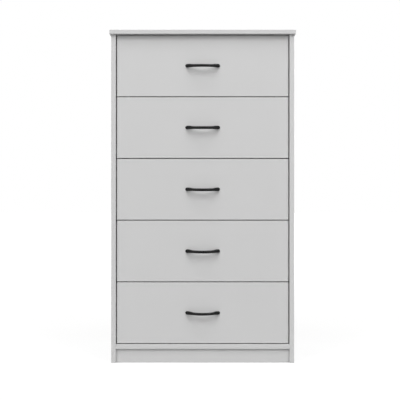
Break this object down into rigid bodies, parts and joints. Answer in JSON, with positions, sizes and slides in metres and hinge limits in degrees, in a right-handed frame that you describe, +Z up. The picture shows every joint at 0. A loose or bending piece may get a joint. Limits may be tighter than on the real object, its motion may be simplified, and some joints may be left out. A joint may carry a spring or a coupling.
{
  "type": "chest of drawers",
  "caption": "Tall narrow chest of equal full-width drawers on roller runners, inset between laminated side boards, with black bow handles and a set-back plinth.",
  "frame": {"origin": "on the floor, in the middle of the whole chest's outline with its drawers closed", "axes": "+Z up, +X to the right of someone facing the chest, the drawers open towards -Y"},
  "size_m": [0.61, 0.4111, 1.091],
  "materials": {
    "laminate": "smooth light grey melamine faced particle board, edges banded to match",
    "box_laminate": "smooth white foil wrapped particle board",
    "hardboard": "thin hardboard, plain brown outside, white inside",
    "drawer_hardboard": "thin hardboard with a white printed face",
    "black_metal": "satin black coated die casting",
    "coated_steel": "white epoxy coated sheet steel",
    "nylon": "natural white moulded nylon",
    "zinc_alloy": "dull zinc die casting",
    "zinc_plated_steel": "bright zinc plating"
  },
  "bodies": {
    "cabinet": {"top_panel": "laminate", "left_side_panel": "laminate", "right_side_panel": "laminate", "bottom_panel": "laminate", "plinth_boards": "laminate", "back_panel": "hardboard", "cabinet_runners": "coated_steel", "cabinet_cam_locks": "zinc_alloy", "cabinet_screws": "zinc_plated_steel", "back_nails": "zinc_plated_steel"},
    "drawer_1": {"drawer_1_front": "laminate", "drawer_1_sides": "box_laminate", "drawer_1_back": "box_laminate", "drawer_1_bottom": "drawer_hardboard", "drawer_1_handle": "black_metal", "drawer_1_screws": "zinc_plated_steel", "drawer_1_cam_locks": "zinc_alloy", "drawer_1_runners": "coated_steel"},
    "drawer_1_roller_pair": {"drawer_1_rollers": "nylon"},
    "cabinet_roller_pair_1": {"cabinet_rollers_1": "nylon"},
    "drawer_2": {"drawer_2_front": "laminate", "drawer_2_sides": "box_laminate", "drawer_2_back": "box_laminate", "drawer_2_bottom": "drawer_hardboard", "drawer_2_handle": "black_metal", "drawer_2_screws": "zinc_plated_steel", "drawer_2_cam_locks": "zinc_alloy", "drawer_2_runners": "coated_steel"},
    "drawer_2_roller_pair": {"drawer_2_rollers": "nylon"},
    "cabinet_roller_pair_2": {"cabinet_rollers_2": "nylon"},
    "drawer_3": {"drawer_3_front": "laminate", "drawer_3_sides": "box_laminate", "drawer_3_back": "box_laminate", "drawer_3_bottom": "drawer_hardboard", "drawer_3_handle": "black_metal", "drawer_3_screws": "zinc_plated_steel", "drawer_3_cam_locks": "zinc_alloy", "drawer_3_runners": "coated_steel"},
    "drawer_3_roller_pair": {"drawer_3_rollers": "nylon"},
    "cabinet_roller_pair_3": {"cabinet_rollers_3": "nylon"},
    "drawer_4": {"drawer_4_front": "laminate", "drawer_4_sides": "box_laminate", "drawer_4_back": "box_laminate", "drawer_4_bottom": "drawer_hardboard", "drawer_4_handle": "black_metal", "drawer_4_screws": "zinc_plated_steel", "drawer_4_cam_locks": "zinc_alloy", "drawer_4_runners": "coated_steel"},
    "drawer_4_roller_pair": {"drawer_4_rollers": "nylon"},
    "cabinet_roller_pair_4": {"cabinet_rollers_4": "nylon"},
    "drawer_5": {"drawer_5_front": "laminate", "drawer_5_sides": "box_laminate", "drawer_5_back": "box_laminate", "drawer_5_bottom": "drawer_hardboard", "drawer_5_handle": "black_metal", "drawer_5_screws": "zinc_plated_steel", "drawer_5_cam_locks": "zinc_alloy", "drawer_5_runners": "coated_steel"},
    "drawer_5_roller_pair": {"drawer_5_rollers": "nylon"},
    "cabinet_roller_pair_5": {"cabinet_rollers_5": "nylon"}
  },
  "joints": [
    {"name": "drawer_1_slide", "type": "slide", "parent": "cabinet", "child": "drawer_1", "axis": [0, -1, 0], "range_m": [0, 0.26]},
    {"name": "drawer_1_rollers_spin", "type": "hinge", "parent": "drawer_1", "child": "drawer_1_roller_pair", "pos_m": [0, 0.1715, 0.9045], "axis": [1, 0, 0], "range_deg": [0, 1656]},
    {"name": "cabinet_rollers_1_spin", "type": "hinge", "parent": "cabinet", "child": "cabinet_roller_pair_1", "pos_m": [0, -0.1505, 0.9045], "axis": [1, 0, 0], "range_deg": [0, 1656]},
    {"name": "drawer_2_slide", "type": "slide", "parent": "cabinet", "child": "drawer_2", "axis": [0, -1, 0], "range_m": [0, 0.26]},
    {"name": "drawer_2_rollers_spin", "type": "hinge", "parent": "drawer_2", "child": "drawer_2_roller_pair", "pos_m": [0, 0.1715, 0.7017], "axis": [1, 0, 0], "range_deg": [0, 1656]},
    {"name": "cabinet_rollers_2_spin", "type": "hinge", "parent": "cabinet", "child": "cabinet_roller_pair_2", "pos_m": [0, -0.1505, 0.7017], "axis": [1, 0, 0], "range_deg": [0, 1656]},
    {"name": "drawer_3_slide", "type": "slide", "parent": "cabinet", "child": "drawer_3", "axis": [0, -1, 0], "range_m": [0, 0.26]},
    {"name": "drawer_3_rollers_spin", "type": "hinge", "parent": "drawer_3", "child": "drawer_3_roller_pair", "pos_m": [0, 0.1715, 0.4989], "axis": [1, 0, 0], "range_deg": [0, 1656]},
    {"name": "cabinet_rollers_3_spin", "type": "hinge", "parent": "cabinet", "child": "cabinet_roller_pair_3", "pos_m": [0, -0.1505, 0.4989], "axis": [1, 0, 0], "range_deg": [0, 1656]},
    {"name": "drawer_4_slide", "type": "slide", "parent": "cabinet", "child": "drawer_4", "axis": [0, -1, 0], "range_m": [0, 0.26]},
    {"name": "drawer_4_rollers_spin", "type": "hinge", "parent": "drawer_4", "child": "drawer_4_roller_pair", "pos_m": [0, 0.1715, 0.2961], "axis": [1, 0, 0], "range_deg": [0, 1656]},
    {"name": "cabinet_rollers_4_spin", "type": "hinge", "parent": "cabinet", "child": "cabinet_roller_pair_4", "pos_m": [0, -0.1505, 0.2961], "axis": [1, 0, 0], "range_deg": [0, 1656]},
    {"name": "drawer_5_slide", "type": "slide", "parent": "cabinet", "child": "drawer_5", "axis": [0, -1, 0], "range_m": [0, 0.26]},
    {"name": "drawer_5_rollers_spin", "type": "hinge", "parent": "drawer_5", "child": "drawer_5_roller_pair", "pos_m": [0, 0.1715, 0.0933], "axis": [1, 0, 0], "range_deg": [0, 1656]},
    {"name": "cabinet_rollers_5_spin", "type": "hinge", "parent": "cabinet", "child": "cabinet_roller_pair_5", "pos_m": [0, -0.1505, 0.0933], "axis": [1, 0, 0], "range_deg": [0, 1656]}
  ],
  "couplings": [
    {"joint": "drawer_1_rollers_spin", "follows": "drawer_1_slide", "rad_per_m": 111.11},
    {"joint": "cabinet_rollers_1_spin", "follows": "drawer_1_slide", "rad_per_m": 111.11},
    {"joint": "drawer_2_rollers_spin", "follows": "drawer_2_slide", "rad_per_m": 111.11},
    {"joint": "cabinet_rollers_2_spin", "follows": "drawer_2_slide", "rad_per_m": 111.11},
    {"joint": "drawer_3_rollers_spin", "follows": "drawer_3_slide", "rad_per_m": 111.11},
    {"joint": "cabinet_rollers_3_spin", "follows": "drawer_3_slide", "rad_per_m": 111.11},
    {"joint": "drawer_4_rollers_spin", "follows": "drawer_4_slide", "rad_per_m": 111.11},
    {"joint": "cabinet_rollers_4_spin", "follows": "drawer_4_slide", "rad_per_m": 111.11},
    {"joint": "drawer_5_rollers_spin", "follows": "drawer_5_slide", "rad_per_m": 111.11},
    {"joint": "cabinet_rollers_5_spin", "follows": "drawer_5_slide", "rad_per_m": 111.11}
  ]
}
